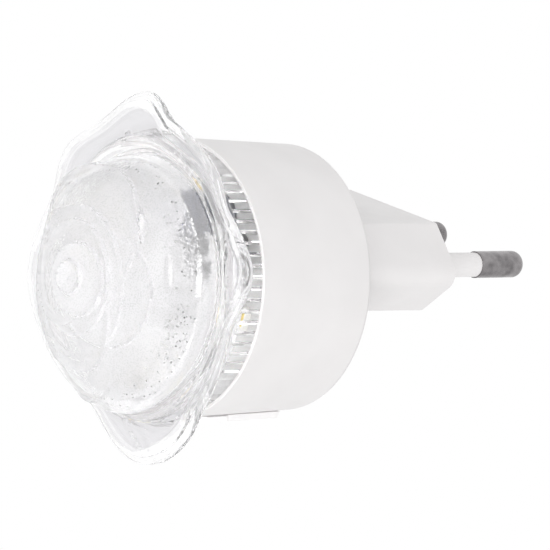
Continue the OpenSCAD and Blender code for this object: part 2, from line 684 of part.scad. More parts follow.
module rose_solid() {
  profiles = [for (i = [0:rose_sectors - 1]) rose_profile(i*360/rose_sectors)];
  rings = len(profiles[0]);
  points = [for (i = [0:rose_sectors - 1]) let (a = i*360/rose_sectors) for (p = profiles[i])
    [p.x*cos(a), p.x*sin(a), p.y]];
  tip = len(points);
  function at(i, k) = (i%rose_sectors)*rings + k;
  polyhedron(
    concat(points, [[0, 0, dome_line[0].y + whorl([0, 0])], [0, 0, hollow_height]]),
    concat(
      [for (i = [0:rose_sectors - 1], k = [0:rings - 2]) each
        [[at(i, k), at(i + 1, k), at(i + 1, k + 1)], [at(i, k), at(i + 1, k + 1), at(i, k + 1)]]],
      [for (i = [0:rose_sectors - 1]) [tip, at(i + 1, 0), at(i, 0)]],
      [for (i = [0:rose_sectors - 1]) [tip + 1, at(i, rings - 1), at(i + 1, rings - 1)]]));
}

module rose_lens() color(clear) facing_front() translate([0, 0, brim_back]) rose_solid();

// ---------------------------------------------------------------- wires

wire_sides = 8;
wire_steps = 4;
solder_gap = 0.12;                         // Between a wire's end and what it is soldered to
led_wire_x = 4;
led_wire_y = -8.2;
led_pad_x = 2.6;

function smooth(path) = let (last = len(path) - 1)
  [for (i = [0:last - 1], j = [0:wire_steps - (i == last - 1 ? 0 : 1)])
    spline(path[max(0, i - 1)], path[i], path[i + 1], path[min(last, i + 2)], j/wire_steps)];

// Round wire along a smoothed path
module wire(path) {
  line = smooth(path);
  last = len(line) - 1;
  rings = [for (i = [0:last]) let (
      along = line[min(last, i + 1)] - line[max(0, i - 1)], t = along/norm(along),
      side = cross(t, [1, 0.2, 0]), u = side/norm(side), v = cross(t, u))
    [for (j = [0:wire_sides - 1]) let (a = j*360/wire_sides)
      line[i] + wire_diameter/2*(u*cos(a) + v*sin(a))]];
  polyhedron(
    [for (ring = rings) each ring],
    concat(
      [[for (j = [0:wire_sides - 1]) j]],
      [for (i = [0:last - 1], j = [0:wire_sides - 1]) let (
          a = i*wire_sides + j, b = i*wire_sides + (j + 1)%wire_sides)
        each [[a, a + wire_sides, b], [b, a + wire_sides, b + wire_sides]]],
      [[for (j = [wire_sides - 1:-1:0]) last*wire_sides + j]]));
}

function tail_point(side, depth) =
  [side*(pin_root_spacing/2 + depth*tan(pin_tilt)), plug_rise, depth];

live_start = tail_point(-1, tail_end + solder_gap);
neutral_start = tail_point(1, tail_end + solder_gap);
live_terminal = from_switch([0, tail_height + solder_gap, terminal_middle - terminal_pitch]);
switched_terminal = from_switch([0, tail_height + solder_gap, terminal_middle]);

module wire_live() color("brown") facing_front() wire([
  live_start, live_start + [-0.05, 0, 2], [-8.4, 2.5, plug_length - 3], [-6, 0.9, back_inside],
  [-3, -5, back_inside + 2.4], [-1.2, -10.2, back_inside + 3], [0, -11.6, driver_back],
  live_terminal + [0, 1, 0], live_terminal]);

module wire_switched() color("sandybrown") facing_front() wire([
  switched_terminal, switched_terminal + [0, 1, 0], [2.2, -10, driver_front + 4],
  [5.2, -8.2, driver_front + 3.4], [5.8, -7.9, driver_front + 1.6], [5.8, -7.9, driver_front + solder_gap]]);

module wire_neutral() color("royalblue") facing_front() wire([
  neutral_start, neutral_start + [0.05, 0, 2], [8, 2, plug_length - 3], [6.5, 1.6, back_inside],
  [5, 0.8, back_inside + 2], [4.8, 0.8, driver_back - 1.2], [4.8, 0.8, driver_back - solder_gap]]);

module wire_to_leds(side) facing_front() wire([
  [side*led_pad_x - 3.6, -8, driver_front + solder_gap], [side*led_pad_x - 3.6, -8, driver_front + 2.5],
  [side*led_wire_x, led_wire_y - 0.6, (driver_front + led_board_back)/2 + 1],
  [side*led_wire_x, led_wire_y, led_board_back - 1.5], [side*led_wire_x, led_wire_y, rim_floor - 0.1]]);

module wire_led_plus() color("red") wire_to_leds(1);
module wire_led_minus() color("dimgray") wire_to_leds(-1);

housing();
pin_left();
pin_right();
sleeve_left();
sleeve_right();
pin_clamp();
clamp_screw();
switch_body();
switch_cap();
switch_terminals();
switch_knob();
switch_carrier();
switch_contact();
driver_board();
board_screws();
film_capacitor();
electrolytic_capacitor();
bridge_rectifier();
bleed_resistor();
fuse_resistor();
led_board();
led_packages();
led_phosphors();
fluted_collar();
rose_lens();
wire_live();
wire_switched();
wire_neutral();
wire_led_plus();
wire_led_minus();
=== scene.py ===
"""Looks of the plug-in night light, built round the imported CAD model. Units are metres."""
import math

import bmesh
import bpy
import numpy as np
from mathutils import Matrix, Vector


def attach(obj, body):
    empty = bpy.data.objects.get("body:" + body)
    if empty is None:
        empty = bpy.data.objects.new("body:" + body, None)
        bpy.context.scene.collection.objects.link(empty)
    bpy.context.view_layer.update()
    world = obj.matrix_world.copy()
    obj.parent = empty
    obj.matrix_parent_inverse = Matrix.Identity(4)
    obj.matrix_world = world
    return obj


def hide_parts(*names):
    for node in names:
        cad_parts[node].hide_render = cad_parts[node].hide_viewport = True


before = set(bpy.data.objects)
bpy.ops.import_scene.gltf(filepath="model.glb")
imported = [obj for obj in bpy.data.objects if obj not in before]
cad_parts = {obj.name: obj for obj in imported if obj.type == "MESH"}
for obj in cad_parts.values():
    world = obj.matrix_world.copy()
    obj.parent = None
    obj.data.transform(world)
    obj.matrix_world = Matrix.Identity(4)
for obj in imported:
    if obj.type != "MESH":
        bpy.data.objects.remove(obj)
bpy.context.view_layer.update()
MM = 0.001

# Depths are measured forwards from the plug's end face, in millimetres
PLUG_RISE = 4.1          # Height of the plug's centre over the housing's axis, in millimetres
BRIM_BACK = 43.5         # Depth of the brim's rear face
CAN_END = 47.25          # Depth of the electrolytic capacitor's front end


# ---------------------------------------------------------------- nodes

def worked_out(tree, operation, first, second):
    """A Math node's result; each of the two values is a number or a socket."""
    node = tree.nodes.new("ShaderNodeMath")
    node.operation = operation
    for value, socket in zip((first, second), node.inputs):
        if isinstance(value, (int, float)):
            socket.default_value = value
        else:
            tree.links.new(value, socket)
    return node.outputs[0]


def plus(tree, first, second):
    return worked_out(tree, "ADD", first, second)


def minus(tree, first, second):
    return worked_out(tree, "SUBTRACT", first, second)


def times(tree, first, second):
    return worked_out(tree, "MULTIPLY", first, second)


def mixed(tree, share, first, second):
    """Colours first and second mixed by share; each is a colour or a socket."""
    node = tree.nodes.new("ShaderNodeMix")
    node.data_type = "RGBA"
    tree.links.new(share, node.inputs["Factor"])
    for value, socket in ((first, node.inputs[6]), (second, node.inputs[7])):
        if isinstance(value, tuple):
            socket.default_value = (*value, 1)
        else:
            tree.links.new(value, socket)
    return node.outputs[2]


def steps(tree, value, none, full):
    """Value stretched so that none gives 0 and full gives 1, and held between them."""
    node = tree.nodes.new("ShaderNodeMapRange")
    node.inputs["From Min"].default_value = none
    node.inputs["From Max"].default_value = full
    tree.links.new(value, node.inputs["Value"])
    return node.outputs["Result"]


def noise(tree, place, pitch, detail):
    """A noise texture; pitch is in bumps for each millimetre, as a number or a socket."""
    texture = tree.nodes.new("ShaderNodeTexNoise")
    texture.inputs["Detail"].default_value = detail
    tree.links.new(place, texture.inputs["Vector"])
    if isinstance(pitch, (int, float)):
        texture.inputs["Scale"].default_value = pitch/MM
    else:
        tree.links.new(times(tree, pitch, 1/MM), texture.inputs["Scale"])
    return texture.outputs["Fac"]


def cells(tree, place, scale, feature):
    """A Voronoi texture; scale is in cells for each metre."""
    texture = tree.nodes.new("ShaderNodeTexVoronoi")
    texture.feature = feature
    tree.links.new(place, texture.inputs["Vector"])
    tree.links.new(scale, texture.inputs["Scale"])
    return texture


def object_place(tree):
    """Coordinates that stay with the piece."""
    return tree.nodes.new("ShaderNodeTexCoord").outputs["Object"]


def along_axes(tree, place):
    """The place's X, Y and Z."""
    parts = tree.nodes.new("ShaderNodeSeparateXYZ")
    tree.links.new(place, parts.inputs[0])
    return parts.outputs


# ---------------------------------------------------------------- camera, floor and light

WHITE = (1, 1, 1, 1)
FLOOR_GREY = (0.86, 0.86, 0.86, 1)
FLOOR_HALF = 6           # Half the floor's width
FLOOR_HEIGHT = -0.7
ROOM_LIGHT = 0.66        # Strength of the light from all round


def let_light_through():
    """Light passes many clear walls before it leaves them, and stays sharp behind them."""
    cycles = bpy.context.scene.cycles
    cycles.blur_glossy = 0
    cycles.max_bounces = 32
    cycles.diffuse_bounces = 16
    cycles.glossy_bounces = 16
    cycles.transmission_bounces = 24


def make_camera():
    """The camera, from the fit to the pins, the plug's corners and the housing's two rims."""
    right = Vector((0.62172, 0.76661, 0.16051))
    up = Vector((-0.25574, 0.00500, 0.96673))
    back = Vector((0.74031, -0.64209, 0.19916))
    place = Vector((0.614467, -0.553543, 0.161484))
    camera = bpy.data.objects.new("camera", bpy.data.cameras.new("camera"))
    camera.data.lens = 369.7
    camera.data.sensor_width = 36
    camera.data.clip_start = 0.05
    camera.data.clip_end = 20
    turn = Matrix((right, up, back)).transposed().to_4x4()
    camera.matrix_world = Matrix.Translation(place) @ turn
    bpy.context.scene.collection.objects.link(camera)
    bpy.context.scene.camera = camera


def soft_lamp(name, place, aim, size, power):
    """Lamp with a soft rectangular front; size is its width and height, and power is in watts."""
    lamp = bpy.data.objects.new(name, bpy.data.lights.new(name, "AREA"))
    lamp.data.shape = "RECTANGLE"
    lamp.data.size, lamp.data.size_y = size
    lamp.data.energy = power
    place, aim = Vector(place), Vector(aim)
    lamp.location = place
    lamp.rotation_mode = "QUATERNION"
    lamp.rotation_quaternion = (aim - place).to_track_quat("-Z", "Y")
    bpy.context.scene.collection.objects.link(lamp)


def plain_where_seen(tree, lit, plain, output):
    """Puts out the plain shader where a ray comes from the camera, a gloss or a clear piece, and
    the lit one where it lights a surface."""
    path = tree.nodes.new("ShaderNodeLightPath")
    seen = path.outputs["Is Camera Ray"]
    for ray in ("Is Glossy Ray", "Is Transmission Ray"):
        seen = worked_out(tree, "MAXIMUM", seen, path.outputs[ray])
    mix = tree.nodes.new("ShaderNodeMixShader")
    tree.links.new(seen, mix.inputs[0])
    tree.links.new(lit.outputs[0], mix.inputs[1])
    tree.links.new(plain.outputs[0], mix.inputs[2])
    tree.links.new(mix.outputs[0], tree.nodes.new(output).inputs["Surface"])


def make_world():
    """Soft light from all round, seen as plain white."""
    world = bpy.data.worlds.new("studio")
    bpy.context.scene.world = world
    world.use_nodes = True
    tree = world.node_tree
    tree.nodes.clear()
    lit = tree.nodes.new("ShaderNodeBackground")
    lit.inputs["Strength"].default_value = ROOM_LIGHT
    lit.inputs["Color"].default_value = WHITE
    plain = tree.nodes.new("ShaderNodeBackground")
    plain.inputs["Color"].default_value = WHITE
    plain_where_seen(tree, lit, plain, "ShaderNodeOutputWorld")


def make_floor():
    """Pale paper floor, seen as plain white."""
    bm = bmesh.new()
    bmesh.ops.create_grid(bm, x_segments=1, y_segments=1, size=FLOOR_HALF)
    bmesh.ops.translate(bm, verts=bm.verts, vec=(0, 0, FLOOR_HEIGHT))
    mesh = bpy.data.meshes.new("floor")
    bm.to_mesh(mesh)
    bm.free()
    floor = bpy.data.objects.new("floor", mesh)
    bpy.context.scene.collection.objects.link(floor)
    material = bpy.data.materials.new("floor_paper")
    material.use_nodes = True
    tree = material.node_tree
    tree.nodes.clear()
    paper = tree.nodes.new("ShaderNodeBsdfDiffuse")
    paper.inputs["Color"].default_value = FLOOR_GREY
    plain_where_seen(tree, paper, tree.nodes.new("ShaderNodeEmission"), "ShaderNodeOutputMaterial")
    mesh.materials.append(material)


# ---------------------------------------------------------------- shader groups

def socket_name(name):
    return name.replace("_", " ").capitalize()


def new_group(name, **inputs):
    """A group that reads Place and the named inputs, and puts out Colour, Roughness and Height."""
    tree = bpy.data.node_groups.new(name, "ShaderNodeTree")
    tree.interface.new_socket("Place", in_out="INPUT", socket_type="NodeSocketVector")
    for key, value in inputs.items():
        is_colour = isinstance(value, tuple)
        kind = "NodeSocketColor" if is_colour else "NodeSocketFloat"
        made = tree.interface.new_socket(socket_name(key), in_out="INPUT", socket_type=kind)
        made.default_value = (*value, 1) if is_colour else value
    tree.interface.new_socket("Colour", in_out="OUTPUT", socket_type="NodeSocketColor")
    for output in ("Roughness", "Height"):
        tree.interface.new_socket(output, in_out="OUTPUT", socket_type="NodeSocketFloat")
    return tree, tree.nodes.new("NodeGroupInput").outputs, tree.nodes.new("NodeGroupOutput").inputs


def satin_group():
    """Moulded surface: slow clouds of tone, fine grain and a few specks of dust."""
    cloud_pitch, cloud_levels, cloud_roughness = 0.12, (0.35, 0.7), 0.06
    dust_pitch, dust_levels = 2.4, (0.74, 0.78)
    dust_colour, dust_share = (0.62, 0.61, 0.6), 0.25
    tree, start, end = new_group("moulded_satin", colour=(0.8, 0.8, 0.8),
                                 cloud=(0.76, 0.76, 0.76), roughness=0.4, grain=6.0)
    place = start["Place"]
    clouds = steps(tree, noise(tree, place, cloud_pitch, 3), *cloud_levels)
    toned = mixed(tree, clouds, start["Colour"], start["Cloud"])
    specks = steps(tree, noise(tree, place, dust_pitch, 2), *dust_levels)
    dusty = mixed(tree, times(tree, specks, dust_share), toned, dust_colour)
    spread = times(tree, minus(tree, clouds, 0.5), cloud_roughness)
    tree.links.new(dusty, end["Colour"])
    tree.links.new(plus(tree, start["Roughness"], spread), end["Roughness"])
    tree.links.new(noise(tree, place, start["Grain"], 4), end["Height"])
    return tree


def metal_group():
    """Plated or rolled metal: fine lines along Y, faint stain and rubbed patches; on the pins the
    colour and the patches are darker, as painted dark reflection.
    """
    line_pitch, line_stretch, line_roughness = 14, (1, 0.06, 1), 0.16
    stain_and_reflection_pitch, stain_and_reflection_levels = 0.35, (0.42, 0.68)
    tree, start, end = new_group("worked_metal", colour=(0.7, 0.7, 0.7),
                                 stain=(0.5, 0.5, 0.5), roughness=0.25)
    stretch = tree.nodes.new("ShaderNodeMapping")
    stretch.inputs["Scale"].default_value = line_stretch
    tree.links.new(start["Place"], stretch.inputs["Vector"])
    lines = noise(tree, stretch.outputs[0], line_pitch, 3)
    stain = steps(tree, noise(tree, start["Place"], stain_and_reflection_pitch, 4), *stain_and_reflection_levels)
    rough = plus(tree, start["Roughness"], times(tree, lines, line_roughness))
    tree.links.new(mixed(tree, stain, start["Colour"], start["Stain"]), end["Colour"])
    tree.links.new(rough, end["Roughness"])
    tree.links.new(lines, end["Height"])
    return tree


# Grain of the mould. Pitches are in bumps for each millimetre, and each pair of levels is where the
# effect is nothing and where it is full
FINE_PITCH = 5.0
FINE_LEVELS = (0.5, 0.62)
FINE_HEIGHT = 0.2        # Beside the pebbles' height of 1, as the waves' height is
WAVE_PITCH = 1.7
WAVE_HEIGHT = 0.7
PATCH_PITCH = 0.3
PATCH_LEVELS = (0.3, 0.7)
PATCH_SHARE = 0.4        # How much of the specks comes and goes with the patches
PATCH_ROUGHNESS = 0.08
PEBBLE_SMOOTHNESS = 0.6

# Zone of pebbles and of dots of painted shade, as depths past the one where it starts
ZONE_START = (0.0, 0.3)
ZONE_END = (3.6, 2.2)

# Dark dots of painted shade, standing for shade seen through the stipple: about one cell in ten has
# one, and more of them low on the rose
DOT_PICK = (0.9, 0.92)
DOT_PICK_LOW = 0.4       # Added to a cell's chance in the low part
DOT_LOW_TOP = (-3, -6)   # Heights in millimetres
DOT_LOW_FOOT = (-14.5, -12.5)
DOT_EDGE = (0.42, 0.24)  # Distance from the cell's centre
DOT_RAGGED = 1.1
DOT_STRENGTH = (-0.5, 0.9)
# Painted shade: this least share of the dots' tone darkens the whole zone evenly
ZONE_PAINTED_SHADE = 0.06          # Least share of the dots' tone, all over the zone

# Depths where the frost ends, in millimetres: all frosted at the first, and clear at the second
FROST_END = (50.2, 48.5)


def painted_shade_dots(tree, place, scale, fine, height):
    """Share of the tone of the dots of painted shade at a place, with ragged edges and of uneven
    strength.
    """
    spots = cells(tree, place, scale, "F1")
    chance = tree.nodes.new("ShaderNodeSeparateColor")
    tree.links.new(spots.outputs["Color"], chance.inputs[0])
    low = times(tree, steps(tree, height, *DOT_LOW_TOP), steps(tree, height, *DOT_LOW_FOOT))
    picked = plus(tree, chance.outputs[0], times(tree, low, DOT_PICK_LOW))
    ragged = times(tree, minus(tree, fine, 0.5), DOT_RAGGED)
    shape = steps(tree, plus(tree, spots.outputs["Distance"], ragged), *DOT_EDGE)
    dot = times(tree, shape, steps(tree, chance.outputs[1], *DOT_STRENGTH))
    return worked_out(tree, "MAXIMUM", times(tree, steps(tree, picked, *DOT_PICK), dot), ZONE_PAINTED_SHADE)


def stipple_group():
    """Grain of the mould in clear plastic, with a zone of pebbles and of dark dots of painted
    shade, and a frost's end.

    Specks and Base are colours, and so is the tone of the dots of painted shade. Pitch is in
    pebbles for each millimetre, and Zone is the depth where the pebbles start.
    """
    tree, start, end = new_group("mould_stipple", specks=(0.95, 0.95, 0.95), base=(1, 1, 1),
                                 dots=(1, 1, 1), pitch=2.6, zone=47.5, roughness=0.2,
                                 rim_roughness=0.2)
    place = start["Place"]
    scale = times(tree, start["Pitch"], 1/MM)
    _, y, z = along_axes(tree, place)
    past = minus(tree, times(tree, y, -1/MM), start["Zone"])
    textured = steps(tree, past, *ZONE_START)
    zone = times(tree, steps(tree, past, *ZONE_END), textured)
    fine = noise(tree, place, FINE_PITCH, 1)
    patches = steps(tree, noise(tree, place, PATCH_PITCH, 2), *PATCH_LEVELS)

    pebbles = cells(tree, place, scale, "SMOOTH_F1")
    pebbles.inputs["Smoothness"].default_value = PEBBLE_SMOOTHNESS
    pebbled = times(tree, pebbles.outputs["Distance"], zone)
    grained = times(tree, times(tree, fine, FINE_HEIGHT), textured)
    waves = times(tree, noise(tree, place, WAVE_PITCH, 2), WAVE_HEIGHT)
    tree.links.new(plus(tree, waves, plus(tree, pebbled, grained)), end["Height"])

    patchy = plus(tree, times(tree, patches, PATCH_SHARE), 1 - PATCH_SHARE)
    specks = times(tree, steps(tree, fine, *FINE_LEVELS), patchy)
    toned = mixed(tree, specks, start["Base"], start["Specks"])
    # Painted shade: dark dots, standing for shade seen through the stipple, over the zone
    dots = times(tree, painted_shade_dots(tree, place, scale, fine, times(tree, z, 1/MM)), zone)
    tree.links.new(mixed(tree, dots, toned, start["Dots"]), end["Colour"])

    frosted = plus(tree, start["Roughness"], times(tree, patches, PATCH_ROUGHNESS))
    clearer = steps(tree, y, *(-depth*MM for depth in FROST_END))
    toward_rim = times(tree, minus(tree, start["Rim roughness"], frosted), clearer)
    tree.links.new(plus(tree, frosted, toward_rim), end["Roughness"])
    return tree


SATIN = satin_group()
METAL = metal_group()
STIPPLE = stipple_group()


# ---------------------------------------------------------------- materials

def new_material(name, group, depth, **values):
    """A material that wears the group with these values; depth is its relief in millimetres."""
    material = bpy.data.materials.new(name)
    material.use_nodes = True
    tree = material.node_tree
    shader = tree.nodes["Principled BSDF"]
    worn = tree.nodes.new("ShaderNodeGroup")
    worn.node_tree = group
    tree.links.new(object_place(tree), worn.inputs["Place"])
    for key, value in values.items():
        is_colour = isinstance(value, tuple)
        worn.inputs[socket_name(key)].default_value = (*value, 1) if is_colour else value
    bump = tree.nodes.new("ShaderNodeBump")
    bump.inputs["Distance"].default_value = depth*MM
    tree.links.new(worn.outputs["Colour"], shader.inputs["Base Color"])
    tree.links.new(worn.outputs["Roughness"], shader.inputs["Roughness"])
    tree.links.new(worn.outputs["Height"], bump.inputs["Height"])
    tree.links.new(bump.outputs[0], shader.inputs["Normal"])
    return material, shader, worn


def satin(name, colour, cloud, roughness, grain=6.0, depth=0.01):
    """Moulded plastic, resin or a board."""
    return new_material(name, SATIN, depth, colour=colour, cloud=cloud, roughness=roughness,
                        grain=grain)[0]


def metal(name, colour, stain, roughness):
    material, shader, _ = new_material(name, METAL, 0.004, colour=colour, stain=stain,
                                       roughness=roughness)
    shader.inputs["Metallic"].default_value = 1
    return material


def sleeved_can(name, sleeve, metal_end, end):
    """Capacitor's plain sleeve, with the can's bare metal end in front; end is the can's depth."""
    sleeve_stop, metal_start = 0.25, 0.2     # Behind the can's end, in millimetres
    material, shader, worn = new_material(name, SATIN, 0.01, colour=sleeve, cloud=sleeve,
                                          roughness=0.28)
    tree = material.node_tree
    y = along_axes(tree, object_place(tree))["Y"]
    bare = steps(tree, y, (sleeve_stop - end)*MM, (metal_start - end)*MM)
    toned = mixed(tree, bare, worn.outputs["Colour"], metal_end)
    tree.links.new(toned, shader.inputs["Base Color"])
    tree.links.new(bare, shader.inputs["Metallic"])
    return material


def clear(name, specks, base, roughness, pitch, depth, transmission=1.0, rim_roughness=None,
          dots=(1.0, 1.0, 1.0), zone=47.5):
    """Clear plastic; a transmission under 1 leaves it milky, and the specks and the dots of painted
    shade show in it.
    """
    material, shader, _ = new_material(
        name, STIPPLE, depth, specks=specks, base=base, dots=dots, pitch=pitch, zone=zone,
        roughness=roughness, rim_roughness=roughness if rim_roughness is None else rim_roughness)
    shader.inputs["Transmission Weight"].default_value = transmission
    shader.inputs["IOR"].default_value = 1.49
    return material


def finish_nodes():
    """Gives every CAD node that stays its own finish."""
    housing = satin("housing_plastic", (0.775, 0.76, 0.76), (0.745, 0.73, 0.73), 0.34, depth=0.006)
    bar = satin("bar_plastic", (0.94, 0.93, 0.93), (0.91, 0.9, 0.9), 0.42)
    knob = satin("knob_plastic", (0.95, 0.945, 0.95), (0.92, 0.915, 0.92), 0.3)
    sleeve = satin("sleeve_plastic", (0.80, 0.785, 0.785), (0.76, 0.745, 0.745), 0.4)
    # Painted reflection: the pins' nickel is darker than the metal's own colour, and its patches
    # darker still, to stand for dark reflections
    pins = metal("nickel_plate", (0.34, 0.325, 0.33), (0.15, 0.142, 0.146), 0.2)
    steel = metal("screw_steel", (0.55, 0.55, 0.56), (0.4, 0.39, 0.38), 0.32)
    brass = metal("contact_brass", (0.78, 0.6, 0.3), (0.6, 0.44, 0.2), 0.3)
    looks = {
        "housing": housing, "switch_body": bar, "switch_knob": knob,
        "sleeve_left": sleeve, "sleeve_right": sleeve, "pin_left": pins, "pin_right": pins,
        "clamp_screw": steel, "board_screws": steel,
        "switch_terminals": brass, "switch_contact": brass,
        "pin_clamp": satin("clamp_plastic", (0.72, 0.68, 0.6), (0.66, 0.62, 0.53), 0.5),
        "switch_cap": satin("pressed_board", (0.3, 0.16, 0.07), (0.22, 0.11, 0.05), 0.6, grain=3),
        "switch_carrier": satin("carrier_plastic", (0.05, 0.05, 0.055), (0.035, 0.035, 0.04), 0.45),
        "driver_board": satin("green_board", (0.02, 0.16, 0.07), (0.015, 0.12, 0.05), 0.3,
                              grain=2, depth=0.02),
        "film_capacitor": satin("red_resin", (0.36, 0.03, 0.02), (0.28, 0.02, 0.015), 0.28,
                                grain=1, depth=0.05),
        "electrolytic_capacitor": sleeved_can("capacitor_sleeve", (0.012, 0.016, 0.045),
                                              (0.85, 0.85, 0.86), CAN_END),
        "bridge_rectifier": satin("black_epoxy", (0.02, 0.02, 0.021), (0.03, 0.03, 0.03), 0.55,
                                  grain=9),
        "bleed_resistor": satin("beige_resin", (0.62, 0.46, 0.28), (0.55, 0.4, 0.24), 0.35),
        "fuse_resistor": satin("green_resin", (0.1, 0.3, 0.2), (0.08, 0.25, 0.16), 0.35),
        "led_board": satin("white_board", (0.68, 0.68, 0.675), (0.65, 0.65, 0.645), 0.3, grain=2),
        "led_packages": satin("led_body", (0.84, 0.83, 0.8), (0.8, 0.79, 0.75), 0.4),
        "led_phosphors": satin("led_phosphor", (0.8, 0.62, 0.16), (0.76, 0.56, 0.12), 0.35,
                               grain=12),
        "wire_live": satin("brown_insulation", (0.16, 0.07, 0.03), (0.13, 0.055, 0.025), 0.35),
        "wire_switched": satin("tan_insulation", (0.4, 0.2, 0.09), (0.34, 0.17, 0.08), 0.35),
        "wire_neutral": satin("blue_insulation", (0.02, 0.1, 0.4), (0.015, 0.08, 0.33), 0.35),
        "wire_led_plus": satin("white_insulation", (0.7, 0.69, 0.67), (0.64, 0.63, 0.61), 0.35),
        "wire_led_minus": satin("black_insulation", (0.02, 0.02, 0.02), (0.03, 0.03, 0.03), 0.35),
        "fluted_collar": clear("collar_clear", (0.96, 0.957, 0.965), (0.97, 0.97, 0.97), 0.03,
                               pitch=1.4, depth=0.003),
    }
    for name, material in looks.items():
        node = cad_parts[name]
        node.data.materials.clear()
        node.data.materials.append(material)


# ---------------------------------------------------------------- lines and curves

def eased(value, none, full):
    """Smooth step: 0 at none, 1 at full, and held beyond them."""
    t = min(max((value - none)/(full - none), 0), 1)
    return t*t*(3 - 2*t)


def around(table, direction):
    """Smooth closed curve through the table's [direction, value] pairs, in degrees."""
    count = len(table)
    turn = (direction - table[0][0]) % 360 + table[0][0]
    k = max(i for i in range(count) if table[i][0] <= turn + 1e-9)
    (a0, v0), (a1, v1), (a2, v2), (a3, v3) = (
        (table[i % count][0] + 360*(i//count), table[i % count][1])
        for i in (k - 1, k, k + 1, k + 2))
    t = (turn - a1)/(a2 - a1)
    m1 = (v2 - v0)/(a2 - a0)*(a2 - a1)
    m2 = (v3 - v1)/(a3 - a1)*(a2 - a1)
    return ((2*t**3 - 3*t*t + 1)*v1 + (t**3 - 2*t*t + t)*m1
            + (3*t*t - 2*t**3)*v2 + (t**3 - t*t)*m2)


def smooth_line(points, count):
    """Curve from the axis through the points, as count evenly spaced points and how far along it
    each of them lies."""
    before = (-points[1][0], points[1][1])
    beyond = 2*np.array(points[-1]) - points[-2]
    p = np.array([before, *points, beyond], float)
    fine = []
    for i in range(1, len(p) - 2):
        for t in np.arange(0, 1, 0.02):
            fine.append((2*p[i] + (p[i + 1] - p[i - 1])*t
                         + (2*p[i - 1] - 5*p[i] + 4*p[i + 1] - p[i + 2])*t*t
                         + (3*p[i] - p[i - 1] - 3*p[i + 1] + p[i + 2])*t**3)/2)
    fine = np.array([*fine, p[-2]])
    along = np.concatenate([[0], np.cumsum(np.hypot(*np.diff(fine, axis=0).T))])
    at = np.linspace(0, along[-1], count)
    return np.stack([np.interp(at, along, fine[:, 0]), np.interp(at, along, fine[:, 1])], 1), at


def line_height(x, z, lines):
    """Height at a point of fine ridges, each given by its ends, height and width at the ends."""
    taper_start, taper_span = 0.08, 0.84
    total = 0.0
    for (ax, az), (bx, bz), height, first, last in lines:
        lx, lz = bx - ax, bz - az
        t = ((x - ax)*lx + (z - az)*lz)/(lx*lx + lz*lz)
        near = min(max(t, 0), 1)
        off = math.hypot(x - ax - lx*near, z - az - lz*near)
        taper = math.sin(math.pi*min(max(taper_start + taper_span*t, 0), 1))
        total += height*taper*math.exp(-(off/(first + (last - first)*near))**2)
    return total


# ---------------------------------------------------------------- rose lens
# Sizes are in millimetres, heights are measured forwards from the brim's rear face, and directions
# are in degrees from +X towards +Z

SECTORS = 300
DOME_ROWS = 96
NECK_ROWS = 2            # Of the dome's rows, those that are clear as the beads are
BRIM_ROWS = 40
EDGE_STEP = 15           # Degrees between the points of the brim's rounded edge
BACK_ROWS = 8
HOLLOW_STEP = 3          # Degrees between the points of the hollow
SHARP_ANGLE = 38         # Degrees between two faces from which their edge is shaded as sharp
SAME_PLACE = 1e-7        # Metres within which the ends of the rows on the axis are merged

DOME_RADIUS = 18.8
DOME_HEIGHT = 13.6
BRIM_THICK = 2.5         # At the collar
EDGE_THICK = 1.5         # At the brim's rounded edge
SPIGOT_RADIUS = 17.9
SPIGOT_LENGTH = 1.9
SPIGOT_WALL = 1.4
SPIGOT_CHAMFER = 0.15
HOLLOW_FOOT = 0.6        # Where the hollow starts to close, as a share of the brim's thickness
HOLLOW_TOP = 0.62        # Top of the hollow, as a share of the dome's height

# The dome's own line from the top out, as shares of its radius and height
DOME_LINE = [(0, 1.0), (0.17, 0.985), (0.33, 0.915), (0.5, 0.80), (0.67, 0.655), (0.83, 0.49),
             (0.96, 0.32), (1.0, 0.16), (0.955, 0.0)]
NECK_RADIUS = DOME_RADIUS*DOME_LINE[-1][0]

# How far the dome's lower part swells in each direction, as shares of its radius
DOME_SWELL = [(20, 1), (60, 0.98), (85, 0.93), (115, 0.93), (146, 1.06), (172, 1),
              (210, 1.02), (245, 1.055), (280, 1.055), (312, 1.01)]
SWELL_START = (0.5, 0.9)     # Radii, as shares of the dome's
SWELL_END = 2.25             # Length over which the swell fades out at the neck
WHORL_END = (4.5, 1)         # Where the whorl starts to fade and is gone, back from the neck's end

# Petals of the dome, inner ones first: [x, z, reach, top, drop, direction of the high end, tilt],
# on the dome laid out flat round its top; the last is the level that the whorl stands on
PETALS = [
    (0.6, 0.3, 2.6, 0.2, 0.6, 200, 0.2), (1.7, 0.2, 5.5, 0.3, 0.9, 60, 0.2),
    (-1.0, -0.2, 9.0, 0.1, 0.8, 60, 0.2), (-3.4, 0.6, 8.6, -0.15, 1.0, 230, 0.45),
    (-1.8, -1.2, 12.2, 0.1, 1.0, 110, 0.2), (5.9, -0.4, 8.9, -0.05, 1.1, 350, 0.45),
    (-1.2, -5.2, 9.7, -0.2, 1.0, 300, 0.55), (-4.0, 5.0, 14.3, 0.0, 1.0, 75, 0.45),
    (-2.8, -3.2, 12.3, -0.1, 1.0, 240, 0.4), (-6.0, -6.0, 15.5, -0.1, 1.0, 220, 0.4),
    (0.0, 0.0, 40.0, 0.6, 1.0, 330, 0.2)]
CUP_DEPTH = 1.1          # How far a petal's inside falls below its lip
CUP_CURVE = 1.6          # Length over which most of that fall takes place
LIP_WIDTH = 0.25         # Level part inside the petal's edge
ROLL = (-0.3, 0.45)      # Where the rolled edge starts to drop and has dropped, from the reach
ROLL_DROP = 1.7          # Its drop, for a petal whose own drop is 1
SKIRT_SLOPE = 0.45       # Slope beyond the rolled edge
BLEND = 11               # How sharply one petal gives way to the next

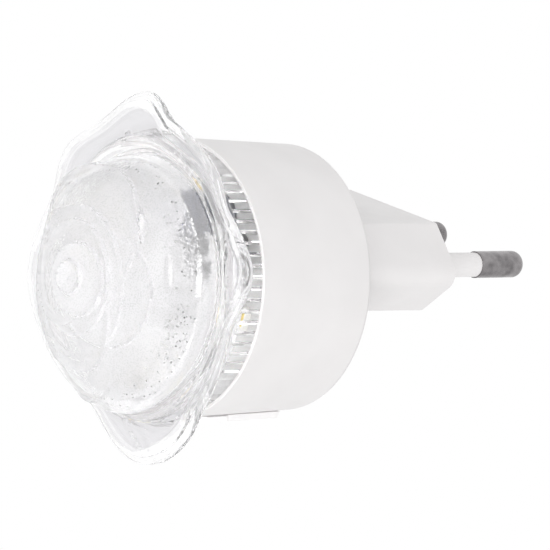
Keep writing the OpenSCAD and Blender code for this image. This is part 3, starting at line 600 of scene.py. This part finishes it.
# Fine ridges on the same layout: two ends, height, width at each end
DOME_RIDGES = [((15.4, 7.6), (17.0, 2.0), 0.28, 0.4, 0.4),
               ((7.2, 4.4), (7.9, -1.2), 0.16, 0.25, 0.25)]

# Flat facet in the V between two petals, on the same layout: its corners, its height along the side
# from the first corner to the last, and its fall for each millimetre away from that side
NOTCH = [(10.7, 8.2), (10.4, 11.2), (7.6, 13.9)]
NOTCH_HEIGHT = 0.3
NOTCH_FALL = 0.36


def petal_height(x, z):
    """How far the whorl of petals stands over the dome's own surface at a point of the layout."""
    total = 0.0
    for px, pz, reach, top, drop, lead, tilt in PETALS:
        dx, dz = x - px, z - pz
        out = math.hypot(dx, dz) - reach
        turn = math.cos(math.atan2(dz, dx) - math.radians(lead))
        cup = CUP_DEPTH*(1 - math.exp(min(out + LIP_WIDTH, 0)/CUP_CURVE))
        roll = ROLL_DROP*drop*eased(out, *ROLL)
        skirt = SKIRT_SLOPE*max(out - ROLL[1], 0)
        total += math.exp(BLEND*(top + tilt*turn - cup - roll - skirt))
    return math.log(total)/BLEND


def notch_height(x, z):
    """Height of the facet at a point of the layout, or None outside it."""
    sides = []
    for (ax, az), (bx, bz) in zip(NOTCH, NOTCH[1:] + NOTCH[:1]):
        across = (bx - ax)*(z - az) - (bz - az)*(x - ax)
        sides.append(across/math.hypot(bx - ax, bz - az))
    return NOTCH_HEIGHT - NOTCH_FALL*sides[2] if min(sides) > 0 else None


DOME_POINTS, DOME_ALONG = smooth_line(
    [(r*DOME_RADIUS, BRIM_THICK + h*DOME_HEIGHT) for r, h in DOME_LINE], DOME_ROWS)
DOME_AHEAD = np.gradient(DOME_POINTS, axis=0)
DOME_AHEAD /= np.linalg.norm(DOME_AHEAD, axis=1)[:, None]


def dome_points(angle):
    """Front of the dome in one direction, as radius and height from its top to its neck."""
    points = []
    end = DOME_ALONG[-1]
    swell = around(DOME_SWELL, math.degrees(angle)) - 1
    for (r, h), (dr, dh), along in zip(DOME_POINTS, DOME_AHEAD, DOME_ALONG):
        x, z = along*math.cos(angle), along*math.sin(angle)
        facet = notch_height(x, z)
        over = petal_height(x, z) + line_height(x, z, DOME_RIDGES) if facet is None else facet
        over *= 1 - eased(along, end - WHORL_END[0], end - WHORL_END[1])
        fade = 1 - eased(along, end - SWELL_END, end)
        wide = 1 + swell*eased(r/DOME_RADIUS, *SWELL_START)*fade
        points.append((r*wide - dh*over if along > 0 else 0.0, h + dr*over))
    return points


# Outline of the brim's petals, from valley to tip and on: direction and radius
BRIM_EDGE = [(-105, 22.3), (-82, 26.4), (-66, 26.8), (-52, 25.3), (-40, 23.1), (-6, 21.2),
             (16, 24.3), (30, 22.8), (42, 21.7), (56, 22.5), (87, 23.5), (101, 26.8), (127, 24.8),
             (148, 26.1), (165, 24.4), (194, 27.0), (216, 25.1), (243, 22.6)]
EDGE_FADE = 1.2          # Where the brim's shapes start to fade into its round, back from the edge

# Width of the bead round that outline, which is wider on one flank of each petal
BEAD_WIDTH = [(-105, 1.2), (-80, 1.5), (-68, 2.6), (-50, 2.8), (-30, 1.6), (30, 1.4), (60, 1.5),
              (88, 2.8), (100, 2.6), (112, 1.7), (145, 1.5), (200, 1.6), (230, 1.3)]
BEAD_HEIGHT = 0.35
BEAD_RISE = (-0.2, 0.4)  # From the bead's inner edge
BRIM_START = NECK_RADIUS + 0.25
RING_END = 20.5          # Outer radius of the raised ring round the dome
RING_HEIGHT = 0.5
RING_RISE = (0.1, 0.9)   # From the brim's start
RING_FALL = 1.0          # Width of the ring's outer slope
PANEL_DEPTH = 0.25       # Of the sunk panels between the ring and the bead
PANEL_FALL = (-0.4, 0.3)     # From the ring's end
PANEL_RISE = 0.5         # Width of the panels' outer slope

# Oval swelling of the brim's small petal, and the groove round its middle
LOBE_DIRECTION, LOBE_RADIUS = 16, 21.3
LOBE_HALF = (2.2, 6.2)   # Half its size across the brim and along it
LOBE_HEIGHT, LOBE_FULLNESS = 0.75, 0.7
LOBE_GROOVE, LOBE_GROOVE_WIDTH, LOBE_GROOVE_DEPTH = 0.55, 0.12, 0.14

# Folds of the lowest petal and a crease in the upper left one, given as the dome's ridges are, but
# from the housing's axis
BRIM_RIDGES = [((0.9, -20.5), (7.9, -25.3), 0.4, 0.3, 0.4),
               ((2.5, -20.6), (11.0, -20.6), 0.16, 0.2, 0.3),
               ((4.0, -21.2), (11.0, -21.6), 0.16, 0.2, 0.3),
               ((5.5, -22.2), (11.2, -22.6), 0.16, 0.2, 0.3),
               ((11.0, -20.0), (12.4, -24.0), 0.35, 0.3, 0.4),
               ((-18.6, 13.4), (-21.6, 15.4), 0.2, 0.2, 0.25)]
SEAT_END = (20.2, 21.6)  # Radii between which the brim's rear face rises from its seat to its edge


def lobe_height(r, direction):
    """Height of that swelling at a radius and direction."""
    aside = math.radians((direction - LOBE_DIRECTION + 180) % 360 - 180)*r
    u = math.hypot((r - LOBE_RADIUS)/LOBE_HALF[0], aside/LOBE_HALF[1])
    groove = LOBE_GROOVE_DEPTH*math.exp(-((u - LOBE_GROOVE)/LOBE_GROOVE_WIDTH)**2)
    return LOBE_HEIGHT*max(1 - u*u, 0)**LOBE_FULLNESS - groove


def brim_height(r, angle, edge):
    """Height of the brim's front over its flat level; edge is its radius in that direction."""
    direction = math.degrees(angle)
    inside = edge - around(BEAD_WIDTH, direction)
    ring = (RING_HEIGHT*eased(r, BRIM_START + RING_RISE[0], BRIM_START + RING_RISE[1])
            * (1 - eased(r, RING_END - RING_FALL, RING_END)))
    bead = (BEAD_HEIGHT*eased(r, inside + BEAD_RISE[0], inside + BEAD_RISE[1])
            * (1 - eased(r, edge - EDGE_FADE, edge - EDGE_THICK/2)))
    panel = (PANEL_DEPTH*eased(r, RING_END + PANEL_FALL[0], RING_END + PANEL_FALL[1])
             * (1 - eased(r, inside - PANEL_RISE, inside)))
    fold = line_height(r*math.cos(angle), r*math.sin(angle), BRIM_RIDGES)
    return max(ring, bead, lobe_height(r, direction)) - panel + fold


def brim_points(angle):
    """Brim in one direction: over its front, round its edge and back to the spigot."""
    edge = around(BRIM_EDGE, math.degrees(angle))
    half = EDGE_THICK/2
    lift = BRIM_THICK - EDGE_THICK
    points = []
    for i in range(1, BRIM_ROWS + 1):
        r = BRIM_START + (edge - half - BRIM_START)*i/BRIM_ROWS
        fade = 1 - eased(r, edge - EDGE_FADE, edge - half)
        points.append((r, BRIM_THICK + brim_height(r, angle, edge)*fade))
    for t in range(90 - EDGE_STEP, -91, -EDGE_STEP):
        c, s = math.cos(math.radians(t)), math.sin(math.radians(t))
        points.append((edge - half + half*c, lift + half + half*s))
    for i in range(1, BACK_ROWS + 1):
        r = edge - half + (SPIGOT_RADIUS - edge + half)*i/BACK_ROWS
        points.append((r, lift*eased(r, *SEAT_END)))
    return points


def spigot_points():
    """Ring that seats in the collar: down its outside and over its chamfered end."""
    inner = SPIGOT_RADIUS - SPIGOT_WALL
    return [*((SPIGOT_RADIUS, -SPIGOT_LENGTH*i/3) for i in (1, 2)),
            (SPIGOT_RADIUS - SPIGOT_CHAMFER, -SPIGOT_LENGTH),
            (inner + SPIGOT_CHAMFER, -SPIGOT_LENGTH),
            (inner, -SPIGOT_LENGTH + SPIGOT_CHAMFER)]


def hollow_points():
    """Hollow under the dome, from the inside of the spigot to the axis."""
    inner = SPIGOT_RADIUS - SPIGOT_WALL
    foot = BRIM_THICK*HOLLOW_FOOT
    top = BRIM_THICK + DOME_HEIGHT*HOLLOW_TOP
    points = []
    for t in range(0, 91, HOLLOW_STEP):
        c, s = math.cos(math.radians(t)), math.sin(math.radians(t))
        points.append((inner*c, foot + (top - foot)*s))
    return points


def shape_rings(bm, sections):
    """Moves the rings of a flat disc to the sections, one for each sector, and numbers them."""
    for vert in bm.verts:
        ring = round(math.hypot(vert.co.x, vert.co.y)) - 1
        sector = round(math.atan2(vert.co.y, vert.co.x)/(2*math.pi)*SECTORS) % SECTORS
        angle = sector*2*math.pi/SECTORS
        r, h = sections[sector][ring]
        x, z = r*math.cos(angle), r*math.sin(angle)
        vert.co = Vector((x*MM, -(BRIM_BACK + h)*MM, (z - PLUG_RISE)*MM))
        vert.index = ring


# The rose's finishes, by their places in its list of materials
DOME, BEAD, PANEL, HOLLOW = range(4)


def rose_finish(face, hollow_start):
    """Which of the rose's finishes a face has, by the rings of its corners and its place."""
    rings = [vert.index for vert in face.verts]
    if min(rings) >= hollow_start:
        return HOLLOW
    if max(rings) < DOME_ROWS - NECK_ROWS:
        return DOME
    middle = face.calc_center_median()
    x, z = middle.x, middle.z + PLUG_RISE*MM
    direction = math.degrees(math.atan2(z, x))
    inside = around(BRIM_EDGE, direction) - around(BEAD_WIDTH, direction)
    return PANEL if RING_END < math.hypot(x, z)/MM < inside else BEAD


def make_rose():
    """The clear rose: a row of points is spun to a disc, and every ring of the disc is shaped."""
    angles = [sector*2*math.pi/SECTORS for sector in range(SECTORS)]
    hollow = hollow_points()
    back = spigot_points() + hollow
    sections = [dome_points(angle) + brim_points(angle) + back for angle in angles]
    rings = len(sections[0])
    bm = bmesh.new()
    line = [bm.verts.new((1 + ring, 0, 0)) for ring in range(rings)]
    edges = [bm.edges.new(pair) for pair in zip(line, line[1:])]
    bmesh.ops.spin(bm, geom=line + edges, cent=(0, 0, 0), axis=(0, 0, 1), dvec=(0, 0, 0),
                   angle=2*math.pi, steps=SECTORS, use_merge=True)
    shape_rings(bm, sections)
    for face in bm.faces:
        face.material_index = rose_finish(face, rings - len(hollow))
    bmesh.ops.remove_doubles(bm, verts=bm.verts, dist=SAME_PLACE)
    bmesh.ops.recalc_face_normals(bm, faces=bm.faces)
    for face in bm.faces:
        face.smooth = True
    for edge in bm.edges:
        edge.smooth = edge.calc_face_angle(0) < math.radians(SHARP_ANGLE)
    mesh = bpy.data.meshes.new("rose_lens_clear")
    bm.to_mesh(mesh)
    bm.free()
    rose = bpy.data.objects.new("rose_lens_clear", mesh)
    bpy.context.scene.collection.objects.link(rose)
    for material in (
            # The dome and the stipple carry the dark dots of painted shade
            clear("dome_clear", (0.82, 0.817, 0.828), (0.98, 0.977, 0.986), 0.03, pitch=2.3,
                  depth=0.002, transmission=0.7, dots=(0.06, 0.06, 0.06), zone=49.5),
            clear("bead_clear", (0.955, 0.952, 0.96), (1.0, 1.0, 1.0), 0.04, pitch=1.2,
                  depth=0.004, transmission=0.95),
            clear("panel_clear", (0.77, 0.765, 0.783), (0.78, 0.775, 0.792), 0.03, pitch=1.2,
                  depth=0.004, transmission=0.97),
            clear("rose_stipple", (0.7, 0.697, 0.707), (0.98, 0.977, 0.987), 0.6, pitch=2.3,
                  depth=0.25, rim_roughness=0.08, dots=(0.01, 0.01, 0.01))):
        mesh.materials.append(material)
    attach(rose, "lamp")
    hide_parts("rose_lens")


let_light_through()
make_camera()
make_world()
make_floor()
soft_lamp("key_lamp", (0.35, -0.6, 0.3), (0, -0.03, 0), (0.5, 0.5), 1.2)
soft_lamp("strip_lamp", (0.62, -0.33, 0.2), (0, -0.05, 0), (0.12, 0.45), 1.4)
soft_lamp("front_lamp", (-0.35, -0.75, 0.0), (0, -0.05, 0), (0.9, 0.9), 1.2)
soft_lamp("top_lamp", (0.31, -0.36, 0.6), (0, -0.055, 0), (0.18, 0.18), 0.4)
soft_lamp("under_lamp", (0.25, -0.3, -0.45), (0, -0.03, 0), (0.5, 0.5), 1.5)
finish_nodes()
make_rose()

bpy.context.scene.view_settings.view_transform = "Standard"
